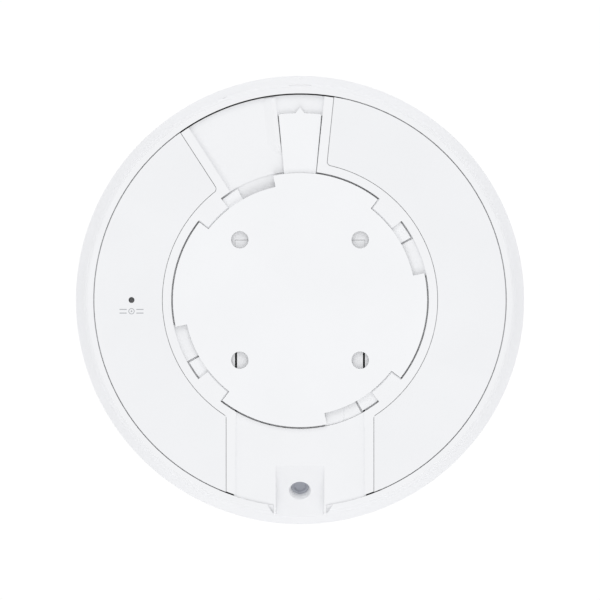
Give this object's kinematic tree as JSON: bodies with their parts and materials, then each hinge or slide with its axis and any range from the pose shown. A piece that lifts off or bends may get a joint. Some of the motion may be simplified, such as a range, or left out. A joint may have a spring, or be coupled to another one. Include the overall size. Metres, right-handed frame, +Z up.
{
  "type": "ceiling access point",
  "caption": "Round white wireless access point held on a bayonet ceiling bracket, with a sprung lock tongue, a sloped cable groove and a recessed reset button.",
  "frame": {"origin": "centre of the bracket's ceiling face, in the ceiling plane", "axes": "+Z up to the ceiling, +Y towards the lock tongue, -Y towards the cable groove; the unit hangs towards -Z"},
  "size_m": [0.22, 0.22, 0.048],
  "materials": {
    "housing_white": "satin",
    "panel_white": "satin",
    "bracket_white": "satin",
    "grey_silicone": "matte",
    "clear_lens": "gloss",
    "blank_label": "matte",
    "circuit_board": "satin",
    "shield_metal": "satin",
    "thermal_pad": "matte",
    "spreader_metal": "satin",
    "contact_metal": "satin",
    "dark_plastic": "matte",
    "ferrite": "matte",
    "capacitor_metal": "satin",
    "led_body": "gloss",
    "button_grey": "matte",
    "antenna_metal": "satin",
    "cable_black": "matte",
    "screw_steel": "satin"
  },
  "bodies": {
    "bracket": {"mount_bracket": "bracket_white"},
    "tongue": {"lock_tongue": "bracket_white"},
    "unit": {"base_tray": "housing_white", "left_panel": "panel_white", "right_panel": "panel_white", "port_cover": "housing_white", "cable_bung": "grey_silicone", "rear_housing": "housing_white", "front_cover": "housing_white", "light_pipe": "clear_lens", "rating_label": "blank_label", "main_board": "circuit_board", "processor_shield": "shield_metal", "radio_shields": "shield_metal", "thermal_pads": "thermal_pad", "reflector_plate": "spreader_metal", "ethernet_jack": "shield_metal", "jack_contacts": "contact_metal", "lan_transformer": "dark_plastic", "poe_transformer": "ferrite", "power_inductor": "ferrite", "capacitors": "capacitor_metal", "memory_chips": "dark_plastic", "status_led": "led_body", "reset_switch": "dark_plastic", "coax_sockets": "contact_metal", "antenna_1": "antenna_metal", "antenna_2": "antenna_metal", "antenna_3": "antenna_metal", "antenna_4": "antenna_metal", "coax_1": "cable_black", "coax_2": "cable_black", "coax_3": "cable_black", "coax_4": "cable_black", "board_screws": "screw_steel", "tray_screws": "screw_steel"},
    "button": {"reset_button": "button_grey"}
  },
  "joints": [
    {"name": "bayonet_twist", "type": "hinge", "parent": "bracket", "child": "unit", "pos_m": [0, 0, -0.001], "axis": [0, 0, 1], "range_deg": [-25, 0], "deforming": ["lock_tongue"]},
    {"name": "lock_tongue_flex", "type": "hinge", "parent": "bracket", "child": "tongue", "pos_m": [0, 0.0623, -0.0016], "axis": [1, 0, 0], "range_deg": [0, 3], "stiffness_Nm_per_rad": 2},
    {"name": "reset_button_press", "type": "slide", "parent": "unit", "child": "button", "axis": [0, 0, -1], "range_m": [0, 0.00045], "stiffness_N_per_m": 1500}
  ]
}
